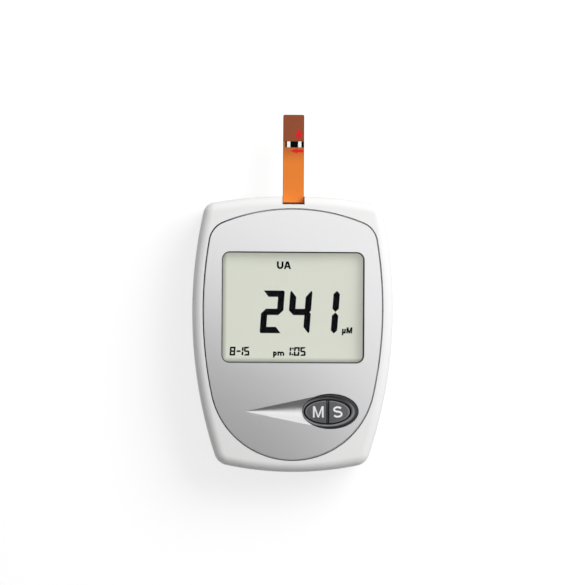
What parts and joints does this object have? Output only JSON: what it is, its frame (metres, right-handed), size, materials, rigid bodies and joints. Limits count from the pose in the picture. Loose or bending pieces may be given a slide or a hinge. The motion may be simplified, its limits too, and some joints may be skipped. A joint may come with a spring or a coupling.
{
  "type": "blood glucose meter",
  "caption": "Hand-held blood glucose meter with a display window, split oval keys, a test strip in its top port, a battery door and a plug-in code key in its back.",
  "frame": {"origin": "centre of the flat back, on the surface that the meter lies on", "axes": "+X to the right and +Y towards the test strip as the display is read, +Z out of the display"},
  "size_m": [0.064, 0.114, 0.022],
  "materials": {
    "case_white": "moulded, satin white",
    "panel_silver": "silver paint on plastic",
    "lens_clear": "clear acrylic lens",
    "lcd_glass": "display glass with polarisers",
    "lcd_grey": "grey-green reflector",
    "foam_dark": "dark foam and elastomer",
    "frame_black": "black moulding",
    "collar_grey": "dark grey moulding",
    "key_grey": "fine-textured grey",
    "board_green": "solder mask",
    "chip_black": "moulded packages",
    "contact_nickel": "nickel-plated",
    "contact_gold": "gold-plated springs",
    "screw_steel": "zinc-plated",
    "cell_jacket": "plain jacket",
    "code_key_grey": "moulded",
    "strip_orange": "printed polyester",
    "strip_brown": "tinted cover film",
    "strip_white": "reagent pad",
    "strip_carbon": "carbon ink",
    "strip_red": "red print of the strip's drop and arrow",
    "lcd_ink": "dark segments of the display",
    "key_print": "white print on the keys"
  },
  "bodies": {
    "meter": {"front_housing": "case_white", "rear_housing": "case_white", "case_screws": "screw_steel", "front_panel": "panel_silver", "window_lens": "lens_clear", "lcd_gasket": "foam_dark", "lcd_glass": "lcd_glass", "lcd_reflector": "lcd_grey", "lcd_frame": "frame_black", "zebra_strips": "foam_dark", "button_collar": "collar_grey", "switch_bodies": "frame_black", "main_board": "board_green", "board_chips": "chip_black", "buzzer": "chip_black", "battery_lower": "cell_jacket", "battery_upper": "cell_jacket", "battery_terminals": "contact_nickel", "battery_bridge": "contact_nickel", "contact_plus": "contact_nickel", "contact_minus": "contact_nickel", "code_socket": "frame_black", "strip_port": "frame_black", "strip_contacts": "contact_gold"},
    "key_m": {"button_m": "key_grey", "switch_plunger_m": "frame_black"},
    "key_s": {"button_s": "key_grey", "switch_plunger_s": "frame_black"},
    "door": {"battery_door": "case_white"},
    "code_key": {"code_key_body": "code_key_grey", "code_key_board": "board_green"},
    "strip": {"strip_base": "strip_orange", "strip_film": "strip_brown", "strip_pads": "strip_white", "strip_electrodes": "strip_carbon"}
  },
  "joints": [
    {"name": "m_press", "type": "slide", "parent": "meter", "child": "key_m", "axis": [0, 0, -1], "range_m": [0, 0.0005], "stiffness_N_per_m": 600, "springref_m": -0.0005},
    {"name": "s_press", "type": "slide", "parent": "meter", "child": "key_s", "axis": [0, 0, -1], "range_m": [0, 0.0005], "stiffness_N_per_m": 600, "springref_m": -0.0005},
    {"name": "strip_slide", "type": "slide", "parent": "meter", "child": "strip", "axis": [0, 1, 0], "range_m": [0, 0.013]},
    {"name": "battery_door_swing", "type": "hinge", "parent": "meter", "child": "door", "pos_m": [0, -0.00345, 0.0001], "axis": [1, 0, 0], "range_deg": [0, 60]},
    {"name": "code_key_pull", "type": "slide", "parent": "meter", "child": "code_key", "axis": [0, 0, -1], "range_m": [0, 0.0125]}
  ]
}
